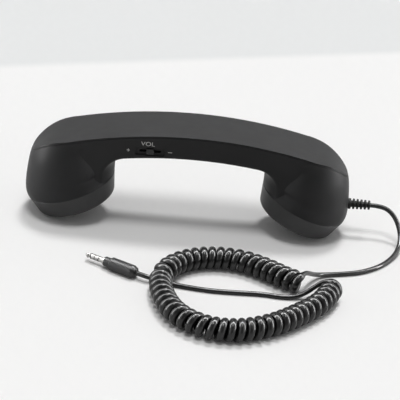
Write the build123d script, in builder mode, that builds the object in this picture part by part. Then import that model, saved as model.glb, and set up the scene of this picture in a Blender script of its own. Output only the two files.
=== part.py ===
"""A retro telephone handset for a mobile phone, lying on its two caps.

Millimetres. X runs along the handle with the earpiece at -X and the cord at +X,
Y points away from the side that carries the volume control, and Z is up. The
origin is under the middle of the handset, on the surface that it lies on.
"""
import math
import os

from build123d import *

# handle
top_z = 66.4
top_radius = 314
end_turn_x = 82
end_turn_radius = 38
handle_half_width = 19.5
handle_depth = 16
corner_radius = 3

# shells
wall = 2.2
cover_lip = 0.9
cover_groove = 0.25
cover_plate = 1.7
fit_gap = 0.2

# cups and screw caps
cup_x = 75
cup_radius = 29
cap_tilt = 20.5
cap_draft = 17
cap_depth = 13.6
cap_edge = 3.5
cap_face_wall = 2.4
cap_dish = 2.4
dish_radius = 20.5
collar_radius = 24.3
collar_wall = 2.0
collar_height = 3.3
ring_height = 2.6
ring_overlap = 0.55
seam_groove = 0.35
neck_radius = 27.6
neck_set_out = 0.5
neck_flare = 11
dome_x = 77
dome_overlap = 2
dome_foot_inset = 0.3
dome_rings = [(2.3, 3.45, 20.5, 0.9), (2.7, 10.3, 10, 2.6), (3, 20.3, 3, 5), (2.6, 28.3, 0, 8)]
dome_top_height = 37.8
dome_top_inset = 0.4

# holes in the two faces
hole_diameter = 2.4
hole_rings = [(1, 0), (6, 5.5), (12, 11)]

# cover fixings
shelf_z = 34
shelf_thickness = 2
boss_radius = 3.6
boss_x = 82
boss_y = 8
screw_radius = 1.4
screw_head_radius = 2.8
screw_head_height = 1.8
wire_hole_x = 67
wire_hole_radius = 3.5
screw_depth = 9

# earpiece
cloth_thickness = 0.4
cloth_radius = 13.4
gasket_height = 1.4
flange_width = 3
flange_height = 1.2
basket_height = 7.4
magnet_height = 4.4
cone_rise = 3.4
cone_edge = 0.5
driver_radius = 19.5
magnet_radius = 11

# microphone
capsule_radius = 4.85
capsule_height = 6.5
boot_wall = 1.6
boot_lip = 1.0
holder_thickness = 1.6
holder_post_radius = 2.2
holder_post_ring = 16

# volume control in the front side of the handle
volume_x = -26.6
volume_z = 54.7
recess_depth = 1.2
recess_end_border = 2.4
recess_side_border = 1.1
volume_travel = 4.2
volume_slot_end = 1.4
volume_slot_height = 1.8
knob_length = 4.6
knob_height = 3.4
knob_reach = 0.7
knob_gap = 0.25
knob_stem_length = 2.4
knob_ridge_pitch = 1.2
knob_ridge_depth = 0.35
recess_corner = 0.8
pot_gap = 0.4
pot_end = 3.2
pot_depth = 4
pot_height = 4.6
board_thickness = 1.2
board_length = 30
board_height = 7.8
board_rib = 2

# answer button in the underside of the handle
button_length = 11
button_width = 6.4
button_proud = 0.7
button_gap = 0.3
button_flange = 1.5
button_flange_height = 0.9
button_travel = 0.8
switch_side = 6
switch_height = 3.4
plunger_radius = 1.7
answer_board_width = 10
answer_board_reach = 20
answer_post_radius = 2
answer_post_y = 8
answer_board_z = 58
small_screw_radius = 0.95
small_head_radius = 1.7
small_head_height = 1.1
button_edge = 0.5
button_rest_gap = 0.15

# steel weight
weight_start = 14
weight_end = 42
weight_half_width = 11
weight_thickness = 6

# cord, plug and strain relief
cord_diameter = 3.0
coil_diameter = 14.5
relief_z = 21
relief_length = 14
relief_radius = 3.5
relief_ribs = 5
relief_neck_radius = 3.0
wire_diameter = 1.6
tail_diameter = 2.6
relief_collar = 1.5
relief_taper = 0.1
relief_groove = 0.6
plug_radius = 1.75
plug_contact_length = 14
plug_axis_z = 4.1
plug_body_radius = 4.1
plug_body_length = 23
plug_collar_length = 4.6
plug_collar_radius = 3.1
plug_angle = -30.9
plug_tip_x = -60.8
plug_tip_y = -66.8
insulator_length = 0.7

os.makedirs("parts", exist_ok=True)

draft = math.radians(cap_draft)
tilt = math.radians(cap_tilt)
rim_depth = cap_depth - cap_edge
rim_radius = cup_radius - rim_depth * math.tan(draft) - cap_edge / math.cos(draft)
seam_z = rim_depth * math.cos(tilt) + rim_radius * math.sin(tilt) + cap_edge
top_centre_z = top_z - top_radius
neck_x = cup_x + neck_set_out
cover_under = cover_lip + cover_plate
floor_radius = top_radius - handle_depth + wall
volume_slot_length = knob_stem_length + 2 * volume_travel + 2 * volume_slot_end
recess_length = volume_slot_length + 2 * recess_end_border
recess_height = knob_height + 2 * recess_side_border
pot_length = volume_slot_length + 2 * pot_end


def save(piece, name):
    piece.part.label = name
    export_step(piece.part, "parts/" + name + ".step")


def arch_z(radius, x):
    """Height of the arc of this radius that is concentric with the handle's top."""
    return top_centre_z + math.sqrt(radius * radius - x * x)


def tilted(x, z, degrees):
    """A plane across the handset, raised by this angle towards +X."""
    turn = math.radians(degrees)
    return Plane(origin=(x, 0, z), x_dir=(math.cos(turn), 0, math.sin(turn)),
                 z_dir=(-math.sin(turn), 0, math.cos(turn)))


ear_plane = tilted(-cup_x, seam_z, cap_tilt)
mouth_plane = tilted(cup_x, seam_z, -cap_tilt)


def crown(inset):
    """All that lies under the top surface, lowered by the inset."""
    turn = math.degrees(math.asin(end_turn_x / top_radius))
    side = top_radius - end_turn_radius
    end_x = side * math.sin(math.radians(turn))
    end_z = top_centre_z + side * math.cos(math.radians(turn))
    last = 80
    with BuildPart() as body:
        with BuildSketch(Plane.XZ):
            with BuildLine():
                left = CenterArc((-end_x, end_z), end_turn_radius - inset, 90 + turn, last - turn)
                CenterArc((0, top_centre_z), top_radius - inset, 90 - turn, 2 * turn)
                right = CenterArc((end_x, end_z), end_turn_radius - inset, 90 - last, last - turn)
                Polyline(left @ 1, ((left @ 1).X, -top_z), ((right @ 0).X, -top_z), right @ 0)
            make_face()
        extrude(amount=2 * cup_radius, both=True)
    return body.part


def grip(inset):
    """The handle and its two necks, with the wide flares into the necks."""
    reach = 24
    half_width = handle_half_width - inset
    with BuildPart() as body:
        with BuildSketch(Plane.XZ):
            with BuildLine():
                low = CenterArc((0, top_centre_z), top_radius - handle_depth + inset, 90 - reach, 2 * reach)
                Polyline(low @ 0, ((low @ 0).X, top_z + wall), ((low @ 1).X, top_z + wall), low @ 1)
            make_face()
        extrude(amount=2 * cup_radius, both=True)
        with Locations((-neck_x, 0, 0), (neck_x, 0, 0)):
            Cylinder(neck_radius - inset, top_z - handle_depth, align=(Align.CENTER, Align.CENTER, Align.MIN))
        Box(2 * dome_x, 2 * half_width, 4 * top_z, mode=Mode.INTERSECT)
        roots = body.edges().filter_by(GeomType.BSPLINE).filter_by(lambda e: e.center().Z > seam_z)
        fillet(roots, neck_flare + inset)
        if inset < corner_radius - 1:
            low_edges = []
            for edge in body.edges():
                middle = edge @ 0.5
                along = abs((edge @ 0).Y - (edge @ 1).Y) < 0.001
                at_side = abs(abs(middle.Y) - half_width) < 0.001
                if along and at_side and middle.Z < top_z - handle_depth + 1 and abs(middle.X) < dome_x - 1:
                    low_edges.append(edge)
            fillet(low_edges, corner_radius - inset)
    return body.part


def dome(inset):
    """The side of the ear cup, from below its seam up to the handle's width."""
    rings = [(-cup_x + dome_overlap * math.sin(tilt), seam_z - dome_overlap * math.cos(tilt), cap_tilt,
              cup_radius - dome_foot_inset), (-cup_x, seam_z, cap_tilt, cup_radius)]
    for set_out, height, degrees, smaller in dome_rings:
        rings.append((-cup_x - set_out, seam_z + height, degrees, cup_radius - smaller))
    rings.append((-dome_x, seam_z + dome_top_height, 0, handle_half_width - dome_top_inset))
    with BuildPart() as body:
        for x, z, degrees, radius in rings:
            with BuildSketch(tilted(x, z, degrees)):
                Circle(radius - inset)
        loft()
    return body.part


def outline(inset):
    """The whole handset without its caps, before the top is cut to shape."""
    ear = dome(inset)
    return grip(inset) + ear + mirror(ear, about=Plane.YZ)


def under_seams():
    """All that lies below the two seam planes, within the cups."""
    reach = 2 * (cup_radius + 1.5)
    with BuildPart() as body:
        for plane in (ear_plane, mouth_plane):
            with BuildSketch(plane):
                Rectangle(reach, reach)
            extrude(amount=-2 * cap_depth - seam_z)
    return body.part


def cylinder_on(plane, radius, start, end):
    """A round bar on a plane's axis between two heights above the plane."""
    with BuildPart() as body:
        with BuildSketch(plane.offset(start)):
            Circle(radius)
        extrude(amount=end - start)
    return body.part


outside = outline(0)
inside = outline(wall)
under = under_seams()

# back cover: the top face with its crisp edge, and a plate that drops into the housing
cover_bosses = [(side * boss_x, y) for side in (-1, 1) for y in (-boss_y, boss_y)]
boss_foot = shelf_z + shelf_thickness
cover_skin = (outside & crown(0)) - crown(cover_lip)
cover_inner = (outline(wall + fit_gap) & crown(cover_lip / 2)) - crown(cover_under)
with BuildPart() as boss_bars:
    with BuildSketch(Plane.XY.offset(boss_foot)):
        with Locations(*cover_bosses):
            Circle(boss_radius)
    extrude(amount=top_z - boss_foot)
with BuildPart() as back_cover:
    add(cover_skin)
    add(cover_inner)
    add(boss_bars.part & crown(cover_lip / 2))
    with Locations(*[(x, y, boss_foot) for x, y in cover_bosses]):
        Hole(screw_radius, depth=screw_depth)
save(back_cover, "back_cover")

# front housing: one moulding with the handle's sides, its underside and both cups
floor_z = arch_z(floor_radius, 0)
board_back_y = -handle_half_width + wall + pot_gap + pot_depth
board_y = board_back_y + board_thickness / 2
board_foot_z = floor_z + fit_gap
answer_posts = [(0, -answer_post_y), (0, answer_post_y)]
with BuildPart() as shelves:
    with BuildSketch(Plane.XY.offset(shelf_z)):
        with Locations((-cup_x, 0), (cup_x, 0)):
            Rectangle(2 * cup_radius + 2, 2 * cup_radius)
    extrude(amount=shelf_thickness)
with BuildPart() as thread_rings:
    for plane in (ear_plane, mouth_plane):
        with BuildSketch(plane.offset(-dome_overlap / 2)):
            Circle(cup_radius - wall + ring_overlap)
            Circle(collar_radius + fit_gap, mode=Mode.SUBTRACT)
        extrude(amount=ring_height + dome_overlap / 2)
with BuildPart() as supports:
    for side in (-1, 1):
        rib_x = volume_x + side * (board_length / 2 - board_rib)
        rib_foot = arch_z(floor_radius, rib_x) - wall / 2
        with Locations((rib_x, board_y, rib_foot)):
            Box(board_rib, 3 * board_rib, board_foot_z + board_rib - rib_foot,
                align=(Align.CENTER, Align.CENTER, Align.MIN))
    with BuildSketch(Plane.XY.offset(floor_z - wall / 2)):
        with Locations(*answer_posts):
            Circle(answer_post_radius)
    extrude(amount=answer_board_z - floor_z + wall / 2)
with BuildPart() as housing_cuts:
    with Locations((volume_x, board_y, board_foot_z)):
        Box(board_length + 2 * fit_gap, board_thickness + 2 * fit_gap, board_height,
            align=(Align.CENTER, Align.CENTER, Align.MIN))
    with BuildSketch(Plane.XY.offset(shelf_z - 1)):
        with Locations(*cover_bosses):
            Circle(screw_radius + fit_gap)
        with Locations((-wire_hole_x, 0), (wire_hole_x, 0)):
            Circle(wire_hole_radius)
    extrude(amount=shelf_thickness + 2)
    with BuildSketch(Plane.XY.offset(floor_z + 1)):
        with Locations(*answer_posts):
            Circle(small_screw_radius)
    extrude(amount=answer_board_z - floor_z)
    with BuildSketch(Plane.XZ.offset(handle_half_width + 1)):
        with Locations((volume_x, volume_z)):
            RectangleRounded(recess_length, recess_height, recess_corner)
    extrude(amount=-recess_depth - 1)
    with BuildSketch(Plane.XZ.offset(handle_half_width)):
        with Locations((volume_x, volume_z)):
            SlotOverall(volume_slot_length, volume_slot_height)
    extrude(amount=-wall - fit_gap)
    with BuildSketch(Plane.XY.offset(floor_z - wall - 1)):
        SlotOverall(button_length + 2 * button_gap, button_width + 2 * button_gap)
    extrude(amount=wall + 1.5)
    with BuildSketch(Plane.YZ.offset(cup_x + neck_radius / 2)):
        with Locations((0, relief_z)):
            Circle(relief_neck_radius)
    extrude(amount=cup_radius)
with BuildPart() as hollow:
    add(inside)
    add([shelves.part, thread_rings.part, supports.part], mode=Mode.SUBTRACT)
with BuildPart() as front_housing:
    add(outside)
    add(crown(cover_lip + cover_groove), mode=Mode.INTERSECT)
    add([under, hollow.part, housing_cuts.part], mode=Mode.SUBTRACT)
save(front_housing, "front_housing")


def side_on(plane):
    """The plane through a cup's tilted axis, with that axis as its Y."""
    return Plane(origin=plane.origin, x_dir=plane.x_dir, z_dir=(0, -1, 0))


cap_floor = -cap_depth + cap_dish + cap_face_wall


def screw_cap(plane, post_top):
    """A threaded cap with a tapered side, a dished face, a pattern of holes and maybe posts."""
    edge_z = -rim_depth
    face_z = -cap_depth
    shade = math.radians(90 + cap_draft) / 2
    with BuildPart() as body:
        with BuildSketch(side_on(plane)):
            with BuildLine():
                Polyline((collar_radius - collar_wall, collar_height), (collar_radius, collar_height),
                         (collar_radius, 0), (cup_radius - seam_groove, 0),
                         (cup_radius - seam_groove * math.tan(draft), -seam_groove),
                         (rim_radius + cap_edge * math.cos(draft), edge_z - cap_edge * math.sin(draft)))
                ThreePointArc((rim_radius + cap_edge * math.cos(draft), edge_z - cap_edge * math.sin(draft)),
                              (rim_radius + cap_edge * math.sin(shade), edge_z - cap_edge * math.cos(shade)),
                              (rim_radius, face_z))
                Line((rim_radius, face_z), (dish_radius, face_z))
                ThreePointArc((dish_radius, face_z), (dish_radius / 2, face_z + 0.75 * cap_dish),
                              (0, face_z + cap_dish))
                Polyline((0, face_z + cap_dish), (0, cap_floor), (collar_radius - collar_wall - 1, cap_floor),
                         (collar_radius - collar_wall, cap_floor + 1), (collar_radius - collar_wall, collar_height))
            make_face()
        revolve(axis=Axis(plane.origin, plane.z_dir))
        with BuildSketch(plane.offset(face_z)):
            for count, ring in hole_rings:
                with PolarLocations(ring, count):
                    Circle(hole_diameter / 2)
        extrude(amount=cap_depth, mode=Mode.SUBTRACT)
        if post_top is not None:
            with BuildSketch(plane.offset(cap_floor)):
                with PolarLocations(holder_post_ring, 3):
                    Circle(holder_post_radius)
                with PolarLocations(holder_post_ring, 3):
                    Circle(small_screw_radius, mode=Mode.SUBTRACT)
            extrude(amount=post_top - cap_floor)
    return body


save(screw_cap(ear_plane, None), "ear_cap")

# microphone cap: the same moulding with three posts inside for the microphone's holder
boot_foot = cap_floor + cloth_thickness
capsule_foot = boot_foot + boot_lip
holder_z = capsule_foot + capsule_height - holder_thickness - 2
save(screw_cap(mouth_plane, holder_z), "mouth_cap")


def disc_stack(plane, rings):
    """Round slices on a cup's axis, each a pair of radii between two heights."""
    with BuildPart() as body:
        for inner, outer, low, high in rings:
            with BuildSketch(plane.offset(low)):
                Circle(outer)
                if inner > 0:
                    Circle(inner, mode=Mode.SUBTRACT)
            extrude(amount=high - low)
    return body


def turned(plane, corners):
    """A ring or disc turned about a cup's axis from its section's corners."""
    with BuildPart() as body:
        with BuildSketch(side_on(plane)):
            with BuildLine():
                Polyline(*corners, close=True)
            make_face()
        revolve(axis=Axis(plane.origin, plane.z_dir))
    return body


# cloth that keeps dust out of the holes
save(disc_stack(ear_plane, [(0, cloth_radius, cap_floor, cap_floor + cloth_thickness)]), "ear_cap_cloth")
save(disc_stack(mouth_plane, [(0, cloth_radius, cap_floor, cap_floor + cloth_thickness)]), "mouth_cap_cloth")

# earpiece: gasket, basket, cone and magnet
gasket_top = cap_floor + gasket_height
save(disc_stack(ear_plane, [(driver_radius - flange_width, driver_radius, cap_floor, gasket_top)]), "ear_gasket")
basket_in = driver_radius - flange_width
basket_back = gasket_top + basket_height
save(turned(ear_plane, [
    (basket_in, gasket_top), (driver_radius, gasket_top), (driver_radius, gasket_top + flange_height),
    (driver_radius - flange_height, gasket_top + flange_height), (magnet_radius + 2, basket_back - flange_height),
    (magnet_radius + 2, basket_back), (magnet_radius / 4, basket_back),
    (magnet_radius / 4, basket_back - flange_height), (magnet_radius + 1, basket_back - flange_height),
    (basket_in, gasket_top + flange_height)]), "ear_driver_basket")
save(turned(ear_plane, [
    (0, gasket_top + cone_rise), (basket_in / 3, gasket_top + cone_rise - 0.6), (basket_in, gasket_top + cone_edge),
    (basket_in, gasket_top), (basket_in / 3, gasket_top + cone_rise - 0.6 - cone_edge),
    (0, gasket_top + cone_rise - cone_edge)]), "ear_driver_cone")
save(disc_stack(ear_plane, [(0, magnet_radius, basket_back, basket_back + magnet_height)]), "ear_driver_magnet")

# microphone: a capsule in a rubber boot, held by a plate on the cap's three posts
boot_radius = capsule_radius + boot_wall
save(disc_stack(mouth_plane, [
    (capsule_radius - boot_lip, boot_radius, boot_foot, capsule_foot),
    (capsule_radius, boot_radius, capsule_foot, capsule_foot + capsule_height - boot_lip)]), "mic_boot")
save(disc_stack(mouth_plane, [(0, capsule_radius, capsule_foot, capsule_foot + capsule_height)]), "mic_capsule")
with BuildPart() as mic_holder:
    with BuildSketch(mouth_plane.offset(holder_z)):
        Circle(holder_post_ring + holder_post_radius)
        Circle(boot_radius, mode=Mode.SUBTRACT)
        with PolarLocations(holder_post_ring, 3):
            Circle(small_screw_radius + fit_gap, mode=Mode.SUBTRACT)
    extrude(amount=holder_thickness)
save(mic_holder, "mic_holder")


def screws(plane, places, radius, head_radius, head_height, length):
    """Pan head screws whose heads stand on the plane, with their shanks below it."""
    with BuildPart() as body:
        with BuildSketch(plane):
            with Locations(*places):
                Circle(head_radius)
        extrude(amount=head_height)
        with BuildSketch(plane):
            with Locations(*places):
                Circle(radius)
        extrude(amount=-length)
    return body


holder_turns = [math.radians(120 * i) for i in range(3)]
holder_places = [(holder_post_ring * math.cos(turn), holder_post_ring * math.sin(turn)) for turn in holder_turns]
save(screws(mouth_plane.offset(holder_z + holder_thickness), holder_places, small_screw_radius, small_head_radius,
            small_head_height, holder_thickness + 3), "mic_holder_screws")
shelf_under = Plane(origin=(0, 0, shelf_z), x_dir=(1, 0, 0), z_dir=(0, 0, -1))
save(screws(shelf_under, cover_bosses, screw_radius, screw_head_radius, screw_head_height,
            shelf_thickness + screw_depth - 1), "cover_screws")

# circuit board with the volume control's body on it
with BuildPart() as control_board:
    with Locations((volume_x, board_y, board_foot_z)):
        Box(board_length, board_thickness, board_height, align=(Align.CENTER, Align.CENTER, Align.MIN))
save(control_board, "control_board")
pot_front_y = board_back_y - pot_depth
with BuildPart() as volume_pot_body:
    with Locations((volume_x, board_back_y - pot_depth / 2, volume_z)):
        Box(pot_length, pot_depth, pot_height)
    with BuildSketch(Plane.XZ.offset(-pot_front_y)):
        with Locations((volume_x, volume_z)):
            Rectangle(volume_slot_length, volume_slot_height)
    extrude(amount=-pot_depth / 2, mode=Mode.SUBTRACT)
save(volume_pot_body, "volume_pot_body")

# volume knob: a ridged thumb piece in the recess, with a stem that slides in the slot
recess_floor_y = -handle_half_width + recess_depth
knob_back_y = recess_floor_y - knob_gap
knob_front_y = -handle_half_width - knob_reach
with BuildPart() as volume_knob:
    with BuildSketch(Plane.XZ.offset(-knob_back_y)):
        with Locations((volume_x, volume_z)):
            RectangleRounded(knob_length, knob_height, recess_corner)
    extrude(amount=knob_back_y - knob_front_y)
    with BuildSketch(Plane.XZ.offset(-knob_front_y)):
        with GridLocations(knob_ridge_pitch, 0, 3, 1):
            with Locations((volume_x, volume_z)):
                Rectangle(knob_ridge_pitch / 2, knob_height)
    extrude(amount=-knob_ridge_depth, mode=Mode.SUBTRACT)
    with BuildSketch(Plane.XZ.offset(-knob_back_y)):
        with Locations((volume_x, volume_z)):
            Rectangle(knob_stem_length, volume_slot_height - 2 * knob_gap)
    extrude(amount=-(pot_front_y - knob_back_y + pot_depth / 2 - knob_gap))
save(volume_knob, "volume_knob")

# answer button, its switch and its board
underside_z = top_z - handle_depth
flange_foot_z = floor_z + button_rest_gap
flange_top_z = flange_foot_z + button_flange_height
switch_foot_z = answer_board_z - switch_height
with BuildPart() as answer_button:
    with BuildSketch(Plane.XY.offset(underside_z - button_proud)):
        SlotOverall(button_length, button_width)
    extrude(amount=flange_foot_z - underside_z + button_proud)
    fillet(answer_button.faces().sort_by(Axis.Z)[0].edges(), button_edge)
    with BuildSketch(Plane.XY.offset(flange_foot_z)):
        SlotOverall(button_length + 2 * button_flange, button_width + 2 * button_flange)
    extrude(amount=button_flange_height)
    with BuildSketch(Plane.XY.offset(flange_top_z)):
        Circle(plunger_radius)
    extrude(amount=switch_foot_z - flange_top_z + button_rest_gap)
save(answer_button, "answer_button")
with BuildPart() as answer_switch_body:
    with Locations((0, 0, switch_foot_z)):
        Box(switch_side, switch_side, switch_height, align=(Align.CENTER, Align.CENTER, Align.MIN))
    with BuildSketch(Plane.XY.offset(switch_foot_z)):
        Circle(plunger_radius + button_gap)
    extrude(amount=button_travel + 2 * button_gap + button_rest_gap, mode=Mode.SUBTRACT)
save(answer_switch_body, "answer_switch_body")
with BuildPart() as answer_board:
    with BuildSketch(Plane.XY.offset(answer_board_z)):
        Rectangle(answer_board_width, answer_board_reach)
        with Locations(*answer_posts):
            Circle(small_screw_radius + fit_gap, mode=Mode.SUBTRACT)
    extrude(amount=board_thickness)
save(answer_board, "answer_board")
save(screws(Plane.XY.offset(answer_board_z + board_thickness), answer_posts, small_screw_radius, small_head_radius,
            small_head_height, board_thickness + 3), "board_screws")

# steel weight, curved to the handle's floor
with BuildPart() as handle_weight:
    with BuildSketch(Plane.XZ):
        with BuildLine():
            end_turn = math.degrees(math.acos(weight_end / floor_radius))
            start_turn = math.degrees(math.acos(weight_start / floor_radius))
            low = CenterArc((0, top_centre_z), floor_radius, end_turn, start_turn - end_turn)
            high = CenterArc((0, top_centre_z), floor_radius + weight_thickness, end_turn, start_turn - end_turn)
            Line(low @ 0, high @ 0)
            Line(low @ 1, high @ 1)
        make_face()
    extrude(amount=weight_half_width, both=True)
save(handle_weight, "handle_weight")


def tube(points, diameter, radii=None):
    """A round cord along straight runs joined by tangent arcs, as large as the runs allow."""
    places = [Vector(*p) for p in points]
    runs = [b - a for a, b in zip(places, places[1:])]
    turns = [a.get_angle(b) for a, b in zip(runs, runs[1:])]
    if radii is None:
        radii = [0.45 * min(a.length, b.length) / math.tan(math.radians(t) / 2)
                 for a, b, t in zip(runs, runs[1:], turns)]
    with BuildPart() as body:
        with BuildLine() as path:
            FilletPolyline(*places, radius=radii)
        start = path.wires()[0]
        with BuildSketch(Plane(origin=places[0], z_dir=runs[0])):
            Circle(diameter / 2)
        sweep(path=start)
    section = math.pi * diameter * diameter / 4
    print("  radii", [round(r, 1) for r in radii], "turns", [round(t) for t in turns])
    print("  length", round(start.length, 1), "volume / (section x length)",
          round(body.part.volume / (section * start.length), 4), "runs", [round(r.length) for r in runs])
    return body


# wires inside the handset, from the board to the earpiece and to the microphone
board_end_x = volume_x - board_length / 2
board_far_x = volume_x + board_length / 2
magnet_side_x = -cup_x + (magnet_radius + 1) * math.cos(tilt) - basket_back * math.sin(tilt)
magnet_side_z = seam_z + (magnet_radius + 1) * math.sin(tilt) + basket_back * math.cos(tilt)
wire_z = floor_z + 5
ear_route = [(board_end_x - wire_diameter, board_y, wire_z - 1), (board_end_x - 12, board_y + 3, wire_z - 1),
             (-wire_hole_x + 2, -3, wire_z - 8), (-wire_hole_x, 0, boot_radius + shelf_z),
             (-wire_hole_x, 0, shelf_z - 3), (magnet_side_x + 1, 0, magnet_side_z + 1)]
save(tube(ear_route, wire_diameter), "ear_wires")
capsule_top_x = cup_x + (capsule_foot + capsule_height) * math.sin(tilt)
capsule_top_z = seam_z + (capsule_foot + capsule_height) * math.cos(tilt)
lane_y = weight_half_width + wire_diameter + pot_gap
mouth_route = [(board_far_x - 1, board_y + 2 * wire_diameter, wire_z), (board_far_x, 0, wire_z + 1),
               (board_far_x + 5, lane_y, wire_z + 1), (16, lane_y, wire_z + 1), (35, lane_y, wire_z),
               (54, 8, wire_z - 3), (wire_hole_x, wire_diameter, shelf_z + 10),
               (wire_hole_x, wire_diameter, shelf_z - 3),
               (capsule_top_x + 4 * math.sin(tilt), 0, capsule_top_z + 4 * math.cos(tilt)),
               (capsule_top_x, 0, capsule_top_z)]
save(tube(mouth_route, wire_diameter), "mouth_wires")

# inner end of the cord, from the strain relief to the board
wall_x = cup_x + cup_radius
relief_inner_x = wall_x - wall - 2
tail_route = [(relief_inner_x, 0, relief_z), (relief_inner_x - 8, 0, relief_z), (cup_x + 9, -1, relief_z + 5),
              (wire_hole_x + 2, -wire_diameter, shelf_z - 4), (wire_hole_x - 1, -wire_diameter, shelf_z + 8),
              (57, -9, wire_z - 4), (weight_end + 4, -lane_y - 0.5, wire_z - 1), (27, -lane_y - 0.5, wire_z),
              (11, -lane_y, wire_z + 1), (board_far_x + wire_diameter, board_y, wire_z)]
save(tube(tail_route, tail_diameter), "cord_tail")

# ribbed strain relief in the end wall of the mouth cup
rib_pitch = (relief_length - relief_collar) / relief_ribs
relief_corners = [(relief_inner_x, 0), (relief_inner_x, relief_radius + 1), (relief_inner_x + 1.6, relief_radius + 1),
                  (relief_inner_x + 1.6, relief_neck_radius - fit_gap / 2),
                  (wall_x + 0.2, relief_neck_radius - fit_gap / 2), (wall_x + 0.2, relief_radius),
                  (wall_x + 0.2 + relief_collar, relief_radius)]
for i in range(relief_ribs):
    rib_x = wall_x + 0.2 + relief_collar + i * rib_pitch
    radius = relief_radius - (i + 1) * relief_taper
    relief_corners += [(rib_x, radius - relief_groove), (rib_x + rib_pitch / 2, radius - relief_groove),
                       (rib_x + rib_pitch / 2, radius), (rib_x + rib_pitch, radius)]
relief_end_x = wall_x + 0.2 + relief_length
relief_corners.append((relief_end_x, 0))
with BuildPart() as strain_relief:
    with BuildSketch(Plane(origin=(0, 0, relief_z), x_dir=(1, 0, 0), z_dir=(0, -1, 0))):
        with BuildLine():
            Polyline(*relief_corners, close=True)
        make_face()
    revolve(axis=Axis((0, 0, relief_z), (1, 0, 0)))
save(strain_relief, "strain_relief")

# lead from the strain relief to the curly cord
floor_line = cord_diameter / 2
coil_line = coil_diameter / 2
lead_route = [(relief_end_x, 0, relief_z), (127, 0, relief_z), (133.6, -3.6, 17.6), (137.2, -8.5, 12.6),
              (138.6, -15.5, 7.6), (137, -24.5, 3.4), (131.5, -35.5, floor_line), (122.6, -47.5, floor_line), (111, -56.2, floor_line),
              (100.4, -60, floor_line), (90.5, -63, floor_line), (82.8, -66.3, 2.6), (78.4, -72.4, 4.3),
              (76.2, -79.6, 5.8), (70.8, -87.2, coil_line)]
save(tube(lead_route, cord_diameter), "cord_handset_lead")

# curly cord, laid in a loop
coil_route = [(70.5, -87.1, coil_line), (62.5, -83, coil_line), (51, -73.4, coil_line), (36.5, -64.6, coil_line),
              (20, -62.6, coil_line), (3.2, -67.6, coil_line), (-10, -80, coil_line), (-15.6, -98, coil_line),
              (-12.4, -119, coil_line), (-4.2, -138, coil_line), (12.4, -150.4, coil_line), (32, -151, coil_line),
              (52, -141.2, coil_line), (70, -124, coil_line), (84.4, -107, coil_line), (89.4, -91.5, coil_line)]
save(tube(coil_route, coil_diameter), "cord_coil")

# lead from the curly cord to the plug
plug_turn = math.radians(plug_angle)
plug_length = plug_contact_length + plug_body_length
plug_end_x = plug_tip_x + plug_length * math.cos(plug_turn)
plug_end_y = plug_tip_y + plug_length * math.sin(plug_turn)
plug_route = [(88.6, -91.8, 5.4), (82.8, -92.6, 3), (76.6, -94.6, floor_line), (69.4, -97.4, floor_line),
              (59, -96.8, floor_line), (47.6, -94.4, floor_line), (31, -95.4, floor_line), (15.4, -95.6, floor_line),
              (2.4, -93.6, floor_line), (-7.6, -91.6, 1.9), (-17.4, -89.6, 3.1),
              (plug_end_x + 5 * math.cos(plug_turn), plug_end_y + 5 * math.sin(plug_turn), plug_axis_z),
              (plug_end_x, plug_end_y, plug_axis_z)]
save(tube(plug_route, cord_diameter), "cord_plug_lead")

# four pole plug: contacts one behind the other, with thin insulating rings between them
plug_plane = Plane(origin=(plug_tip_x, plug_tip_y, plug_axis_z), x_dir=(0, 0, 1),
                   z_dir=(math.cos(plug_turn), math.sin(plug_turn), 0))
plug_side = Plane(origin=plug_plane.origin, x_dir=plug_plane.z_dir,
                  z_dir=(math.sin(plug_turn), -math.cos(plug_turn), 0))
plug_axis = Axis(plug_plane.origin, plug_plane.z_dir)


def plug_turned(corners):
    """A piece turned about the plug's axis: distances behind the tip, and radii."""
    with BuildPart() as body:
        with BuildSketch(plug_side):
            with BuildLine():
                Polyline(*corners, close=True)
            make_face()
        revolve(axis=plug_axis)
    return body


def plug_bar(start, end, radius):
    return plug_turned([(start, 0), (start, radius), (end, radius), (end, 0)])


ring_length = 2.1
tip_length = 3.8
tip_end = tip_length
front_ring = tip_end + insulator_length
back_ring = front_ring + ring_length + insulator_length
sleeve_start = back_ring + ring_length + insulator_length
save(plug_turned([(0, 0), (0, 0.5), (1.4, plug_radius), (1.9, plug_radius), (2.9, 1.25), (3.3, 1.25),
                  (tip_end, 1.6), (tip_end, 0)]), "plug_tip")
save(plug_bar(front_ring, front_ring + ring_length, plug_radius), "plug_ring_front")
save(plug_bar(back_ring, back_ring + ring_length, plug_radius), "plug_ring_back")
save(plug_turned([(sleeve_start, 0), (sleeve_start, plug_radius), (plug_contact_length - 0.6, plug_radius),
                  (plug_contact_length - 0.6, plug_radius + 0.9), (plug_contact_length, plug_radius + 0.9),
                  (plug_contact_length, 0)]), "plug_sleeve")
with BuildPart() as plug_insulators:
    for start in (tip_end, front_ring + ring_length, back_ring + ring_length):
        with BuildSketch(plug_plane.offset(start)):
            Circle(plug_radius)
        extrude(amount=insulator_length)
save(plug_insulators, "plug_insulators")
body_start = plug_contact_length
shoulder = body_start + plug_collar_length
save(plug_turned([(body_start, 0), (body_start, plug_collar_radius - 0.3), (body_start + 0.3, plug_collar_radius),
                  (shoulder - 0.6, plug_collar_radius), (shoulder, plug_collar_radius + 0.5),
                  (shoulder + 0.4, plug_body_radius), (plug_length - 3, plug_body_radius),
                  (plug_length - 0.8, plug_body_radius - 0.8), (plug_length, plug_body_radius - 2),
                  (plug_length, 0)]), "plug_body")
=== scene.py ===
"""A retro telephone handset for a mobile phone, lying on its two caps with its curly cord
laid in a loop in front of it. Metres, with X along the handle and Z up.
"""
import math

import bmesh
import bpy
from mathutils import Matrix, Vector


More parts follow.
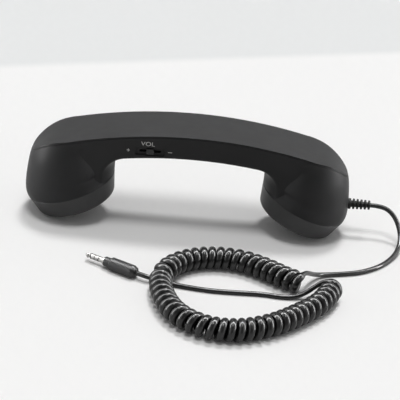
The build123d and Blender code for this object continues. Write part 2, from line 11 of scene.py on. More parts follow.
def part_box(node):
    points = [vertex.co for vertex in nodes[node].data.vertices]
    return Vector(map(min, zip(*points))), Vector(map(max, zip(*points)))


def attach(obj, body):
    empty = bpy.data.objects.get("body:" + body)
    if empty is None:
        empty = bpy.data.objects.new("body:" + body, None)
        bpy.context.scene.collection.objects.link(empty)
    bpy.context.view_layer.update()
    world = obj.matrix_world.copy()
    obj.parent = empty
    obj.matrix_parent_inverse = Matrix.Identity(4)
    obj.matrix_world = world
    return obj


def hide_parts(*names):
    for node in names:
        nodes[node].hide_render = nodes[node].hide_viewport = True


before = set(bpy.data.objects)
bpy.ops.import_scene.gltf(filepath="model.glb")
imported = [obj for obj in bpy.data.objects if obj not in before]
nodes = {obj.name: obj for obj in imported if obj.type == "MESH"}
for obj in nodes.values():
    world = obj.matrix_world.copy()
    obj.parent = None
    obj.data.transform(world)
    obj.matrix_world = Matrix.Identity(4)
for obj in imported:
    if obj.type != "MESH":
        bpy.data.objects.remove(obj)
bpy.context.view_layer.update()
scene = bpy.context.scene
scene.view_settings.view_transform = "Standard"

# The camera stands in front of the handset and a little above it. It is rolled a little, and
# its long lens keeps the two cups at nearly the same size.


def placed(name, data):
    """A new object of this data, put into the scene at the origin."""
    piece = bpy.data.objects.new(name, data)
    scene.collection.objects.link(piece)
    return piece


camera_elevation = math.radians(26.39)
camera_yaw = math.radians(2.69)
camera_roll = math.radians(6.01)
camera_distance = 1.2482
camera_target = Vector((0.00858, 0, 0.01444))
look = Vector((math.sin(camera_yaw) * math.cos(camera_elevation),
               math.cos(camera_yaw) * math.cos(camera_elevation),
               -math.sin(camera_elevation)))
level_right = Vector((math.cos(camera_yaw), -math.sin(camera_yaw), 0))
level_up = level_right.cross(look)
right = math.cos(camera_roll) * level_right + math.sin(camera_roll) * level_up
up = -math.sin(camera_roll) * level_right + math.cos(camera_roll) * level_up
lens = bpy.data.cameras.new("camera")
lens.lens = 174.1
lens.sensor_width = 36
camera = placed("camera", lens)
camera.matrix_world = Matrix((
    (right.x, up.x, -look.x, 0),
    (right.y, up.y, -look.y, 0),
    (right.z, up.z, -look.z, 0),
    (0, 0, 0, 1)))
camera.location = camera_target - camera_distance * look
scene.camera = camera

# Studio: a pale table that ends at a slightly greyer backdrop, a lamp high behind the handset
# and one above it. A bright ceiling strip and rear wall show only in glossy surfaces.


def new_material(name):
    """An empty node material, its tree and its principled shader."""
    material = bpy.data.materials.new(name)
    material.use_nodes = True
    tree = material.node_tree
    return material, tree, tree.nodes["Principled BSDF"]


def add_node(tree, kind, settings=(), values=()):
    """A node of this kind, with its settings and the values of its input sockets."""
    node = tree.nodes.new(kind)
    for name, value in dict(settings).items():
        setattr(node, name, value)
    for name, value in dict(values).items():
        node.inputs[name].default_value = value
    return node


def join(tree, *links):
    """Link each of these outputs to the input that comes with it."""
    for output, socket in links:
        tree.links.new(output, socket)


def add_mix(tree):
    """A colour mix node with its factor, its two colours and its result."""
    mix = add_node(tree, "ShaderNodeMix", {"data_type": "RGBA"})
    return mix.inputs[0], mix.inputs[6], mix.inputs[7], mix.outputs[2]


def calculated(tree, operation, *operands):
    """The result of a maths node on these operands, each a number or another node's output."""
    node = add_node(tree, "ShaderNodeMath", {"operation": operation})
    for socket, operand in zip(node.inputs, operands):
        if isinstance(operand, (int, float)):
            socket.default_value = operand
        else:
            tree.links.new(operand, socket)
    return node.outputs[0]


def faded(tree, value, start, end, start_strength, end_strength):
    """A strength that changes smoothly from one to the other while a value goes from start to end."""
    fade = add_node(tree, "ShaderNodeMapRange", {"interpolation_type": "SMOOTHSTEP"},
                    {"From Min": start, "From Max": end,
                     "To Min": start_strength, "To Max": end_strength})
    tree.links.new(value, fade.inputs["Value"])
    return fade.outputs[0]


floor_colour = (0.915, 0.912, 0.908, 1)
backdrop_colour = (0.80, 0.81, 0.81, 1)
backdrop_start = 0.262
backdrop_end = 0.278
backdrop_slope = 0.318
floor_reach = 3
floor_depth = 4
floor_mesh = bpy.data.meshes.new("floor")
floor_corners = [(-floor_reach, -floor_reach, 0), (floor_reach, -floor_reach, 0),
                 (floor_reach, floor_depth, 0), (-floor_reach, floor_depth, 0)]
floor_mesh.from_pydata(floor_corners, [], [(0, 1, 2, 3)])
floor = placed("floor", floor_mesh)
floor_paint, tree, shader = new_material("table_and_backdrop")
shader.inputs["Roughness"].default_value = 0.9
shader.inputs["Specular IOR Level"].default_value = 0.05
place = add_node(tree, "ShaderNodeTexCoord")
split = add_node(tree, "ShaderNodeSeparateXYZ")
tree.links.new(place.outputs["Object"], split.inputs[0])
away = calculated(tree, "MULTIPLY_ADD", split.outputs["X"], -backdrop_slope, split.outputs["Y"])
factor, near, far, mixed = add_mix(tree)
near.default_value = floor_colour
far.default_value = backdrop_colour
join(tree,
     (faded(tree, away, backdrop_start, backdrop_end, 0, 1), factor),
     (mixed, shader.inputs["Base Color"]))
facing = add_node(tree, "ShaderNodeNewGeometry")
clear = add_node(tree, "ShaderNodeBsdfTransparent")
seen_through = add_node(tree, "ShaderNodeMixShader")
join(tree,
     (facing.outputs["Backfacing"], seen_through.inputs[0]),
     (shader.outputs[0], seen_through.inputs[1]),
     (clear.outputs[0], seen_through.inputs[2]),
     (seen_through.outputs[0], tree.nodes["Material Output"].inputs["Surface"]))
floor_mesh.materials.append(floor_paint)

room_fill = 0.32
rear_wall_light = 0.18
rear_wall_start = 0.1
rear_wall_end = 0.95
ceiling_share = 0.3
strip_light = 22
strip_across = Vector((0, -1, 0.27)).normalized()
strip_core = math.radians(3.5)
strip_edge = math.radians(6.5)
side_light = 1.6
side_light_start = 0.45
side_light_end = 0.85
world = bpy.data.worlds.new("room")
scene.world = world
world.use_nodes = True
tree = world.node_tree
sky = tree.nodes["Background"]
sky.inputs["Color"].default_value = (1, 1, 1, 1)
place = add_node(tree, "ShaderNodeTexCoord")
split = add_node(tree, "ShaderNodeSeparateXYZ")
tree.links.new(place.outputs["Generated"], split.inputs[0])
rearward = calculated(tree, "MULTIPLY_ADD", split.outputs["Z"], ceiling_share, split.outputs["Y"])
rear_wall = faded(tree, rearward, rear_wall_start, rear_wall_end, 0, rear_wall_light)
across_strip = add_node(tree, "ShaderNodeVectorMath", {"operation": "DOT_PRODUCT"})
across_strip.inputs[1].default_value = strip_across
tree.links.new(place.outputs["Generated"], across_strip.inputs[0])
off_strip = calculated(tree, "ABSOLUTE", across_strip.outputs["Value"])
strip = faded(tree, off_strip, math.sin(strip_core), math.sin(strip_edge), strip_light, 0)
sideward = calculated(tree, "ABSOLUTE", split.outputs["X"])
sides = faded(tree, sideward, side_light_start, side_light_end, 0, side_light)
reflected = calculated(tree, "ADD", rear_wall, strip)
reflected = calculated(tree, "ADD", reflected, sides)
ray = add_node(tree, "ShaderNodeLightPath")
strength = calculated(tree, "MULTIPLY_ADD", reflected, ray.outputs["Is Glossy Ray"], room_fill)
tree.links.new(strength, sky.inputs["Strength"])


def sun(name, towards, strength, width):
    """A distant soft lamp that stands in this direction and looks this many degrees wide."""
    lamp = bpy.data.lights.new(name, "SUN")
    lamp.energy = strength
    lamp.angle = math.radians(width)
    placed(name, lamp).rotation_euler = Vector(towards).to_track_quat("Z", "Y").to_euler()


sun("lamp_behind", towards=(0.1, 0.36, 1), strength=1.22, width=13)
sun("lamp_above", towards=(-0.02, -0.19, 1), strength=1, width=20)

# Housing and cover: two mouldings of matt black plastic, screwed together from inside the
# cups. Their soft-touch lacquer has a very fine grain, and faint patches where it is thicker.


def new_group(name, inputs, outputs):
    """An empty shader node group, its tree, its input node and its output node."""
    group = bpy.data.node_groups.new(name, "ShaderNodeTree")
    for side, sockets in (("INPUT", inputs), ("OUTPUT", outputs)):
        for socket, kind in sockets:
            group.interface.new_socket(socket, in_out=side, socket_type="NodeSocket" + kind)
    return group, group.nodes.new("NodeGroupInput"), group.nodes.new("NodeGroupOutput")


# All mouldings share one surface: soft patches of two close shades, and a fine grain.
moulded, given, result = new_group(
    "moulded_surface",
    [("Dark Colour", "Color"), ("Light Colour", "Color"), ("Patches per Metre", "Float"),
     ("Grains per Metre", "Float"), ("Smoothest", "Float"), ("Roughest", "Float")],
    [("Colour", "Color"), ("Roughness", "Float"), ("Height", "Float")])
place = add_node(moulded, "ShaderNodeTexCoord")
patches = add_node(moulded, "ShaderNodeTexNoise", values={"Detail": 3, "Roughness": 0.6})
grain = add_node(moulded, "ShaderNodeTexNoise", values={"Detail": 2, "Roughness": 0.55})
spread_out = add_node(moulded, "ShaderNodeMapRange", values={"From Min": 0.32, "From Max": 0.68})
rougher = add_node(moulded, "ShaderNodeMapRange", values={"From Min": 0.3, "From Max": 0.7})
factor, dark, light, mixed = add_mix(moulded)
join(moulded,
     (place.outputs["Object"], patches.inputs["Vector"]),
     (place.outputs["Object"], grain.inputs["Vector"]),
     (given.outputs["Patches per Metre"], patches.inputs["Scale"]),
     (given.outputs["Grains per Metre"], grain.inputs["Scale"]),
     (patches.outputs["Fac"], spread_out.inputs["Value"]),
     (spread_out.outputs[0], factor),
     (given.outputs["Dark Colour"], dark),
     (given.outputs["Light Colour"], light),
     (mixed, result.inputs["Colour"]),
     (patches.outputs["Fac"], rougher.inputs["Value"]),
     (given.outputs["Smoothest"], rougher.inputs["To Min"]),
     (given.outputs["Roughest"], rougher.inputs["To Max"]),
     (rougher.outputs[0], result.inputs["Roughness"]),
     (grain.outputs["Fac"], result.inputs["Height"]))


def finished(name, group, values, relief, depth, fixed=()):
    """A material with the colour, roughness and relief of a group, its tree and its group node."""
    material, tree, shader = new_material(name)
    surface = add_node(tree, "ShaderNodeGroup", {"node_tree": group}, values)
    bump = add_node(tree, "ShaderNodeBump", values={"Strength": relief, "Distance": depth})
    join(tree,
         (surface.outputs["Colour"], shader.inputs["Base Color"]),
         (surface.outputs["Roughness"], shader.inputs["Roughness"]),
         (surface.outputs["Height"], bump.inputs["Height"]),
         (bump.outputs["Normal"], shader.inputs["Normal"]))
    for socket, value in dict(fixed).items():
        shader.inputs[socket].default_value = value
    return material, tree, surface


def paint(material, *names):
    """Give these carried-over parts this material alone."""
    for name in names:
        nodes[name].data.materials.clear()
        nodes[name].data.materials.append(material)


def plain(name, dark, light, patches, grains, roughness, relief, depth, fixed=()):
    """A moulded material from its two colours, its scales and its range of roughness."""
    values = {"Dark Colour": (*dark, 1), "Light Colour": (*light, 1), "Patches per Metre": patches,
              "Grains per Metre": grains, "Smoothest": roughness[0], "Roughest": roughness[1]}
    return finished(name, moulded, values, relief, depth, fixed)[0]


soft_touch = plain("soft_touch_lacquer", (0.0095, 0.0095, 0.0098), (0.013, 0.013, 0.0134), patches=60,
                   grains=2600, roughness=(0.46, 0.56), relief=0.35, depth=0.00006,
                   fixed={"Specular IOR Level": 0.22})
paint(soft_touch, "front_housing", "back_cover")

# Screw caps, volume knob and answer button: satin black mouldings without lacquer, which look
# a little greyer than the housing. Cloths glued inside the caps keep dust out of their holes.
satin = plain("satin_black_plastic", (0.023, 0.023, 0.0235), (0.031, 0.031, 0.0315), patches=90,
              grains=3400, roughness=(0.38, 0.5), relief=0.3, depth=0.00005,
              fixed={"Specular IOR Level": 0.35})
paint(satin, "ear_cap", "mouth_cap", "volume_knob", "answer_button")

# The threads of the cloth cross at right angles, with dark gaps between them.
woven, given, result = new_group(
    "woven_cloth",
    [("Thread Colour", "Color"), ("Gap Colour", "Color"), ("Threads per Metre", "Float")],
    [("Colour", "Color"), ("Roughness", "Float"), ("Height", "Float")])
place = add_node(woven, "ShaderNodeTexCoord")
split = add_node(woven, "ShaderNodeSeparateXYZ")
woven.links.new(place.outputs["Object"], split.inputs[0])
waves = []
for direction in ("X", "Y"):
    turns = calculated(woven, "MULTIPLY", split.outputs[direction], given.outputs["Threads per Metre"])
    turns = calculated(woven, "MULTIPLY", turns, math.pi)
    waves.append(calculated(woven, "SINE", turns))
crossing = calculated(woven, "MULTIPLY", *waves)
raised = add_node(woven, "ShaderNodeMapRange", values={"From Min": -1, "From Max": 1})
fuzz = add_node(woven, "ShaderNodeMapRange", values={"To Min": 0.95, "To Max": 0.8})
factor, gap, thread, mixed = add_mix(woven)
join(woven,
     (crossing, raised.inputs["Value"]),
     (raised.outputs[0], factor),
     (given.outputs["Gap Colour"], gap),
     (given.outputs["Thread Colour"], thread),
     (mixed, result.inputs["Colour"]),
     (raised.outputs[0], fuzz.inputs["Value"]),
     (fuzz.outputs[0], result.inputs["Roughness"]),
     (raised.outputs[0], result.inputs["Height"]))
threads = {"Thread Colour": (0.03, 0.03, 0.03, 1), "Gap Colour": (0.006, 0.006, 0.006, 1),
           "Threads per Metre": 2400}
cloth = finished("dust_cloth", woven, threads, relief=0.8, depth=0.00015,
                 fixed={"Sheen Weight": 0.2})[0]
paint(cloth, "ear_cap_cloth", "mouth_cap_cloth")

# Marks beside the volume control: the word VOL, a plus and a minus, pad-printed in pale grey
# ink on the side of the handle.


def worked_out(piece):
    """The plain mesh that an object gives when its curves and modifiers are worked out."""
    bpy.context.view_layer.update()
    return bpy.data.meshes.new_from_object(piece.evaluated_get(bpy.context.evaluated_depsgraph_get()))


word = bpy.data.curves.new("volume_word", "FONT")
word.body = "VOL"
word.align_x = "CENTER"
word.resolution_u = 6
word_holder = placed("volume_word", word)
letters = worked_out(word_holder)
bpy.data.objects.remove(word_holder)


def mark_into(shape, corners, faces, x_range, z_range):
    """Add flat faces to a mark, stretched into this range of x and z on the handle's side."""
    low_x = min(corner[0] for corner in corners)
    low_y = min(corner[1] for corner in corners)
    wide = max(corner[0] for corner in corners) - low_x
    high = max(corner[1] for corner in corners) - low_y
    made = []
    for corner in corners:
        x = x_range[0] + (corner[0] - low_x) / wide * (x_range[1] - x_range[0])
        z = z_range[0] + (corner[1] - low_y) / high * (z_range[1] - z_range[0])
        made.append(shape.verts.new((x, 0, z)))
    for face in faces:
        shape.faces.new([made[i] for i in face])


ink_proud = 0.00004
ink_sunk = 0.0002
word_x = (-0.0327, -0.024)
word_z = (0.0586, 0.0614)
plus_middle = (-0.0403, 0.0548)
minus_middle = (-0.0141, 0.0553)
stroke = 0.00045
plus_arm = 0.00095
minus_arm = 0.0013
in_front_of_side = -0.06
shared_corner = 0.00001
square = [(0, 0), (1, 0), (1, 1), (0, 1)]
bar = stroke / 2
# Each arm of the plus has two corners at its end and one beside it, going round to the left.
cross = []
for side, way in ((1, 0), (0, 1), (-1, 0), (0, -1)):
    cross.append((plus_arm * side + bar * way, plus_arm * way - bar * side))
    cross.append((plus_arm * side - bar * way, plus_arm * way + bar * side))
    cross.append((bar * (side - way), bar * (side + way)))
marks_shape = bmesh.new()
mark_into(marks_shape, [vertex.co for vertex in letters.vertices],
          [list(polygon.vertices) for polygon in letters.polygons], word_x, word_z)
mark_into(marks_shape, cross, [range(len(cross))],
          (plus_middle[0] - plus_arm, plus_middle[0] + plus_arm),
          (plus_middle[1] - plus_arm, plus_middle[1] + plus_arm))
mark_into(marks_shape, square, [range(len(square))],
          (minus_middle[0] - minus_arm, minus_middle[0] + minus_arm),
          (minus_middle[1] - bar, minus_middle[1] + bar))
bmesh.ops.remove_doubles(marks_shape, verts=marks_shape.verts, dist=shared_corner)
flat_faces = list(marks_shape.faces)
extruded = bmesh.ops.extrude_face_region(marks_shape, geom=flat_faces, use_keep_orig=True)
front_vertices = {item for item in extruded["geom"] if isinstance(item, bmesh.types.BMVert)}
housing = nodes["front_housing"]
for vertex in marks_shape.verts:
    spot = housing.ray_cast((vertex.co.x, in_front_of_side, vertex.co.z), (0, 1, 0))[1]
    vertex.co.y = spot.y - ink_proud if vertex in front_vertices else spot.y + ink_sunk
bmesh.ops.recalc_face_normals(marks_shape, faces=marks_shape.faces)
marks_mesh = bpy.data.meshes.new("volume_marks")
marks_shape.to_mesh(marks_mesh)
marks_shape.free()
marks = placed("volume_marks", marks_mesh)
ink = plain("printed_grey_ink", (0.33, 0.33, 0.32), (0.4, 0.4, 0.39), patches=400, grains=5000,
            roughness=(0.5, 0.65), relief=0.2, depth=0.00003)
marks_mesh.materials.append(ink)
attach(marks, "handset")

# Earpiece and microphone: a small pressed basket with a film cone and a magnet on a foam ring
# in one cup, and a drawn capsule in a rubber boot under its holder in the other.
foam = plain("closed_foam", (0.06, 0.06, 0.06), (0.11, 0.11, 0.11), patches=300, grains=1800,
             roughness=(0.85, 0.95), relief=0.9, depth=0.0002)
film = plain("cone_film", (0.16, 0.16, 0.165), (0.22, 0.22, 0.22), patches=120, grains=2000,
             roughness=(0.25, 0.35), relief=0.2, depth=0.00004)
inner = plain("inner_moulding", (0.03, 0.03, 0.031), (0.045, 0.045, 0.046), patches=120, grains=2200,
              roughness=(0.45, 0.6), relief=0.3, depth=0.00006)
paint(foam, "ear_gasket", "mic_boot")
paint(film, "ear_driver_cone")
paint(inner, "mic_holder")

# Rolling, drawing or turning leaves fine lines in the metal, and it dulls in patches.
lined, given, result = new_group(
    "lined_metal",
    [("Vector", "Vector"), ("Metal Colour", "Color"), ("Dull Colour", "Color"),
     ("Lines per Metre", "Float"), ("Smoothest", "Float"), ("Roughest", "Float")],
    [("Colour", "Color"), ("Roughness", "Float"), ("Height", "Float")])
split = add_node(lined, "ShaderNodeSeparateXYZ")
lines = add_node(lined, "ShaderNodeTexNoise", {"noise_dimensions": "1D"}, {"Detail": 2})
clouds = add_node(lined, "ShaderNodeTexNoise", values={"Scale": 250, "Detail": 3})
duller = add_node(lined, "ShaderNodeMapRange", values={"From Min": 0.4, "From Max": 0.75})
rougher = add_node(lined, "ShaderNodeMapRange", values={"From Min": 0.3, "From Max": 0.7})
factor, bright, dull, mixed = add_mix(lined)
join(lined,
     (given.outputs["Vector"], split.inputs[0]),
     (given.outputs["Vector"], clouds.inputs["Vector"]),
     (split.outputs["X"], lines.inputs["W"]),
     (given.outputs["Lines per Metre"], lines.inputs["Scale"]),
     (clouds.outputs["Fac"], duller.inputs["Value"]),
     (duller.outputs[0], factor),
     (given.outputs["Metal Colour"], bright),
     (given.outputs["Dull Colour"], dull),
     (mixed, result.inputs["Colour"]),
     (lines.outputs["Fac"], rougher.inputs["Value"]),
     (given.outputs["Smoothest"], rougher.inputs["To Min"]),
     (given.outputs["Roughest"], rougher.inputs["To Max"]),
     (rougher.outputs[0], result.inputs["Roughness"]),
     (lines.outputs["Fac"], result.inputs["Height"]))


def metal(name, bright, dull, lines_per_metre, roughness, turned=0):
    """A metal with fine lines across its length, turned about Z by this many degrees."""
    values = {"Metal Colour": (*bright, 1), "Dull Colour": (*dull, 1),
              "Lines per Metre": lines_per_metre, "Smoothest": roughness[0], "Roughest": roughness[1]}
    material, tree, surface = finished(name, lined, values, relief=0.15, depth=0.00003,
                                       fixed={"Metallic": 1})
    place = add_node(tree, "ShaderNodeTexCoord")
    turn = add_node(tree, "ShaderNodeMapping", values={"Rotation": (0, 0, math.radians(turned))})
    join(tree,
         (place.outputs["Object"], turn.inputs["Vector"]),
         (turn.outputs["Vector"], surface.inputs["Vector"]))
    return material


pressed = metal("pressed_steel", (0.5, 0.5, 0.51), (0.4, 0.4, 0.4), lines_per_metre=2500,
                roughness=(0.3, 0.45))
drawn = metal("drawn_can", (0.7, 0.7, 0.71), (0.6, 0.6, 0.6), lines_per_metre=4000,
              roughness=(0.25, 0.35))
paint(pressed, "ear_driver_basket", "ear_driver_magnet")
paint(drawn, "mic_capsule")

# Fasteners and weight: zinc plated screws from inside the cups, and a plain steel bar in the
# handle that gives the light moulding the heft of an old receiver.
zinc = metal("zinc_plating", (0.55, 0.56, 0.58), (0.42, 0.42, 0.43), lines_per_metre=6000,
             roughness=(0.25, 0.4))
mill_steel = metal("mill_steel", (0.3, 0.3, 0.31), (0.2, 0.19, 0.18), lines_per_metre=800,
                   roughness=(0.4, 0.6))
paint(zinc, "mic_holder_screws", "cover_screws", "board_screws")
paint(mill_steel, "handle_weight")

# Boards and wires: two boards of green laminate with a slightly uneven coating, one on ribs
# and one on posts. They carry the volume control and the answer switch, and soft insulated
# wires lead from them to the earpiece and the microphone.
laminate = plain("green_laminate", (0.03, 0.13, 0.06), (0.06, 0.22, 0.11), patches=500, grains=3000,
                 roughness=(0.3, 0.45), relief=0.3, depth=0.00005)
insulation = plain("wire_insulation", (0.02, 0.02, 0.02), (0.035, 0.035, 0.035), patches=200,
                   grains=2500, roughness=(0.35, 0.5), relief=0.2, depth=0.00004)
paint(laminate, "control_board", "answer_board")
paint(inner, "volume_pot_body", "answer_switch_body")
paint(insulation, "ear_wires", "mouth_wires")

# Ribbed sleeve: moulded from soft black rubber round the cord, where it leaves the mouthpiece
# end. Its flange sits behind the wall, and its five ribs get smaller away from the handset.
sleeve_low, sleeve_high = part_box("strain_relief")
flange_thickness = 0.0016
sleeve_sizes = {
    "Height over Table": 0.021,
    "Flange Start": sleeve_low[0], "Flange End": sleeve_low[0] + flange_thickness,
    "Flange Radius": 0.0045, "Neck Radius": 0.0029, "Wall Face": 0.1042,
    "Ribs": 5.0, "Ribs Start": 0.1057, "Ribs End": sleeve_high[0],
    "First Radius": 0.0035, "Last Radius": 0.003, "Groove Depth": 0.0013}
sleeve_steps = 240
sleeve_sides = 32
groove_bottom = -0.5
rib_shoulder = 0.4
sleeve_tree = bpy.data.node_groups.new("ribbed_sleeve", "GeometryNodeTree")
for socket in sleeve_sizes:
    sleeve_tree.interface.new_socket(socket, in_out="INPUT", socket_type="NodeSocketFloat")
sleeve_tree.interface.new_socket("Geometry", in_out="OUTPUT", socket_type="NodeSocketGeometry")
size_of = add_node(sleeve_tree, "NodeGroupInput").outputs
ends = []
for end in ("Flange Start", "Ribs End"):
    point = add_node(sleeve_tree, "ShaderNodeCombineXYZ")
    join(sleeve_tree,
         (size_of[end], point.inputs["X"]),
         (size_of["Height over Table"], point.inputs["Z"]))
    ends.append(point)
axis = add_node(sleeve_tree, "GeometryNodeCurvePrimitiveLine")
steps = add_node(sleeve_tree, "GeometryNodeResampleCurve", values={"Count": sleeve_steps})
where = add_node(sleeve_tree, "GeometryNodeInputPosition")
split = add_node(sleeve_tree, "ShaderNodeSeparateXYZ")
join(sleeve_tree,
     (ends[0].outputs[0], axis.inputs["Start"]),
     (ends[1].outputs[0], axis.inputs["End"]),
     (axis.outputs["Curve"], steps.inputs["Curve"]),
     (where.outputs[0], split.inputs[0]))
x = split.outputs["X"]
ribbed_length = calculated(sleeve_tree, "SUBTRACT", size_of["Ribs End"], size_of["Ribs Start"])
share = calculated(sleeve_tree, "SUBTRACT", x, size_of["Ribs Start"])
share = calculated(sleeve_tree, "DIVIDE", share, ribbed_length)
share = calculated(sleeve_tree, "MAXIMUM", share, 0.0)
wave = calculated(sleeve_tree, "MULTIPLY", share, size_of["Ribs"])
wave = calculated(sleeve_tree, "MULTIPLY", wave, -2 * math.pi)
wave = calculated(sleeve_tree, "SINE", wave)
rib = add_node(sleeve_tree, "ShaderNodeMapRange", {"interpolation_type": "SMOOTHSTEP"},
               {"From Min": groove_bottom, "From Max": rib_shoulder})
sleeve_tree.links.new(wave, rib.inputs["Value"])
before_ribs = calculated(sleeve_tree, "LESS_THAN", x, size_of["Ribs Start"])
raised = calculated(sleeve_tree, "MAXIMUM", rib.outputs[0], before_ribs)
lowered = calculated(sleeve_tree, "SUBTRACT", 1.0, raised)
lowered = calculated(sleeve_tree, "MULTIPLY", lowered, size_of["Groove Depth"])
shrink = calculated(sleeve_tree, "SUBTRACT", size_of["First Radius"], size_of["Last Radius"])
shrink = calculated(sleeve_tree, "MULTIPLY", shrink, share)
outer = calculated(sleeve_tree, "SUBTRACT", size_of["First Radius"], shrink)
outer = calculated(sleeve_tree, "SUBTRACT", outer, lowered)
for limit, radius in (("Wall Face", "Neck Radius"), ("Flange End", "Flange Radius")):
    inside = calculated(sleeve_tree, "LESS_THAN", x, size_of[limit])
    change = calculated(sleeve_tree, "SUBTRACT", size_of[radius], outer)
    outer = calculated(sleeve_tree, "MULTIPLY_ADD", change, inside, outer)
ring = add_node(sleeve_tree, "GeometryNodeCurvePrimitiveCircle",
                values={"Resolution": sleeve_sides, "Radius": 1.0})
swept = add_node(sleeve_tree, "GeometryNodeCurveToMesh", values={"Fill Caps": True})
smooth = add_node(sleeve_tree, "GeometryNodeSetShadeSmooth")
real = add_node(sleeve_tree, "GeometryNodeRealizeInstances")
coloured = add_node(sleeve_tree, "GeometryNodeSetMaterial")
made = add_node(sleeve_tree, "NodeGroupOutput")
join(sleeve_tree,
     (steps.outputs["Curve"], swept.inputs["Curve"]),
     (outer, swept.inputs["Scale"]),
     (ring.outputs["Curve"], swept.inputs["Profile Curve"]),
     (swept.outputs["Mesh"], smooth.inputs["Geometry"]),
     (smooth.outputs["Geometry"], real.inputs["Geometry"]),
     (real.outputs["Geometry"], coloured.inputs["Geometry"]),
     (coloured.outputs["Geometry"], made.inputs["Geometry"]))
rubber = plain("ribbed_sleeve_rubber", (0.007, 0.007, 0.007), (0.012, 0.012, 0.012), patches=300,
               grains=2600, roughness=(0.5, 0.62), relief=0.4, depth=0.00006,
               fixed={"Specular IOR Level": 0.25})
coloured.inputs["Material"].default_value = rubber
sleeve_maker = placed("ribbed_sleeve_maker", bpy.data.meshes.new("ribbed_sleeve_maker"))
modifier = sleeve_maker.modifiers.new("ribs", "NODES")
modifier.node_group = sleeve_tree
for item in sleeve_tree.interface.items_tree:
    if item.in_out == "INPUT":
        modifier[item.identifier] = sleeve_sizes[item.name]
sleeve_mesh = worked_out(sleeve_maker)
sleeve_mesh.name = "ribbed_sleeve"
bpy.data.objects.remove(sleeve_maker)
sleeve = placed("ribbed_sleeve", sleeve_mesh)
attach(sleeve, "handset")
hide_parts("strain_relief")

# Cord: a round cable of four thin wires in a glossy black sheath. It leaves the ribbed sleeve,
# bends down to the table and climbs over the first turn of the curly part. Its other end drops
# from the last turn and runs across the loop to the plug.
lead_thickness = 0.003
line_smoothness = 24
cord_smoothness = 4
# Each route has the places of the cord's middle in millimetres, chosen along its lie.
lead_route = [
    (118.2, 0, 21), (127, 0, 21), (133.6, -3.6, 17.6), (137.2, -8.5, 12.6), (138.6, -15.5, 7.6),
    (137, -24.5, 3.4), (131.5, -35.5, 1.5), (122.6, -47.5, 1.5), (111, -56.2, 1.5),
    (100.4, -60, 1.5), (90.5, -62.6, 1.5), (84.2, -65.6, 2.4), (79.8, -70.4, 4.9),
    (76.6, -75.8, 8.3), (74, -80.6, 11), (71.9, -84.4, 11.95)]
coil_route = [
    (70.5, -87.1, 7.25), (62.5, -83, 7.25), (51, -73.4, 7.25), (36.5, -64.6, 7.25),
    (20, -62.6, 7.25), (3.2, -67.6, 7.25), (-10, -80, 7.25), (-15.6, -98, 7.25),
    (-12.4, -119, 7.25), (-4.2, -138, 7.25), (12.4, -150.4, 7.25), (32, -151, 7.25),
    (52, -141.2, 7.25), (70, -124, 7.25), (84.4, -107, 7.25), (89.4, -91.5, 7.25)]
plug_lead_route = [
    (86.4, -90.5, 11.8), (82.8, -90.3, 10.4), (79, -91.3, 7.6), (75, -93, 4.8), (70, -94.8, 2.6),
    (64, -96, 1.6), (57, -96, 1.5), (47.6, -94.4, 1.5), (31, -95.4, 1.5), (15.4, -95.6, 1.5),
    (2.4, -93.6, 1.5), (-7.6, -91.6, 1.7), (-17.4, -89.8, 2.9), (-24.763, -88.369, 4.1),
    (-29.052, -85.801, 4.1)]


def spline_curve(name, route, radius, smooth):
    """A curve object of one open spline along these control points, as a tube of this radius."""
    data = bpy.data.curves.new(name, "CURVE")
    data.dimensions = "3D"
    line = data.splines.new("NURBS")
    line.points.add(len(route) - 1)
    for point, place in zip(line.points, route):
        point.co = (place[0], place[1], place[2], 1)
        point.radius = radius
    line.order_u = 3
    line.use_endpoint_u = True
    data.resolution_u = smooth
    # A depth of 1 makes each point's own radius the radius of the tube there.
    data.bevel_depth = 1 if radius else 0
    data.bevel_resolution = 4
    data.use_fill_caps = True
    return placed(name, data)


def spline_points(route, smooth):
    """The places along a spline of these points, as an unthickened curve gives them."""
    curve = spline_curve("line", route, 0, smooth)
    mesh = worked_out(curve)
    places = [vertex.co.copy() for vertex in mesh.vertices]
    bpy.data.objects.remove(curve)
    bpy.data.meshes.remove(mesh)
    return places


def metres(route):
    """The places of a route in metres, from millimetres."""
    return [Vector(place) / 1000 for place in route]


# Curly part: wound on a bar and set by heat, with a thicker sheath. Its turns lie close together
# along the loop, and two of them are spread where the cord's own end passes between them.
coil_outer = 0.0145
wound_thickness = 0.0051
turn_count = 49
steps_per_turn = 16
start_turn = math.radians(86)
spread_start = 17.49
spread = 0.005
uneven = 0.0004
uneven_turns = 7.3
turn_radius = (coil_outer - wound_thickness) / 2
coil_line = spline_points(metres(coil_route), line_smoothness)
line_lengths = [0.0]
for before, after in zip(coil_line, coil_line[1:]):
    line_lengths.append(line_lengths[-1] + (after - before).length)


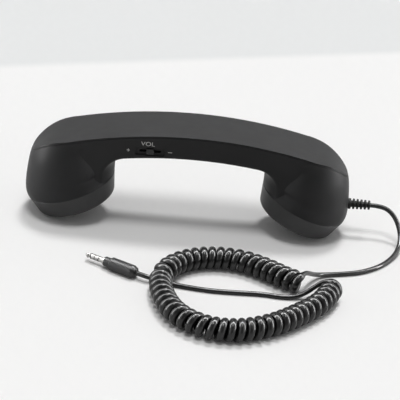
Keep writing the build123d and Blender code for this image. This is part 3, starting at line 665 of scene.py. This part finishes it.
def along(line, lengths, distance):
    """The place on a line at this distance from its start, and the line's direction there."""
    i = 1
    while i < len(lengths) - 1 and lengths[i] < distance:
        i += 1
    share = (distance - lengths[i - 1]) / (lengths[i] - lengths[i - 1])
    return line[i - 1].lerp(line[i], share), (line[i] - line[i - 1]).normalized()


def eased(value):
    """A smooth step that goes from 0 to 1 while the value does."""
    value = min(1, max(0, value))
    return value * value * (3 - 2 * value)


helix = []
pitch = (line_lengths[-1] - spread) / turn_count
for step in range(turn_count * steps_per_turn + 1):
    turn = step / steps_per_turn
    distance = turn * pitch + spread * eased(turn - spread_start)
    distance += uneven * math.sin(2 * math.pi * turn / uneven_turns)
    centre, ahead = along(coil_line, line_lengths, distance)
    side = Vector((0, 0, 1)).cross(ahead).normalized()
    angle = start_turn - 2 * math.pi * turn
    outward = math.cos(angle) * side + math.sin(angle) * Vector((0, 0, 1))
    helix.append(centre + turn_radius * outward)

cord_route = metres(lead_route) + helix + metres(plug_lead_route)
cord_path = spline_points(cord_route, cord_smoothness)
cord = spline_curve("curly_cord", cord_route, wound_thickness / 2, cord_smoothness)
for i, point in enumerate(cord.data.splines[0].points):
    if i < len(lead_route) or i >= len(lead_route) + len(helix):
        point.radius = lead_thickness / 2
sheath = plain("glossy_sheath", (0.004, 0.004, 0.004), (0.008, 0.008, 0.0082), patches=250,
               grains=3000, roughness=(0.34, 0.46), relief=0.3, depth=0.00004,
               fixed={"Specular IOR Level": 0.12, "Coat Weight": 0.6, "Coat Roughness": 0.05})
cord.data.materials.append(sheath)
paint(sheath, "cord_tail")
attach(cord, "handset")
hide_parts("cord_handset_lead", "cord_coil", "cord_plug_lead")

# Plug: a satin black handle moulded over nickel-plated contacts, turned from bar, with black
# rings between them.
plug_angle = 30.9
plug_black = plain("plug_moulding", (0.008, 0.008, 0.0082), (0.013, 0.013, 0.0133), patches=300,
                   grains=3200, roughness=(0.3, 0.42), relief=0.3, depth=0.00004)
nickel = metal("nickel_plating", (0.36, 0.355, 0.345), (0.28, 0.275, 0.27), lines_per_metre=9000,
               roughness=(0.3, 0.4), turned=plug_angle)
paint(plug_black, "plug_body", "plug_insulators")
paint(nickel, "plug_tip", "plug_ring_front", "plug_ring_back", "plug_sleeve")
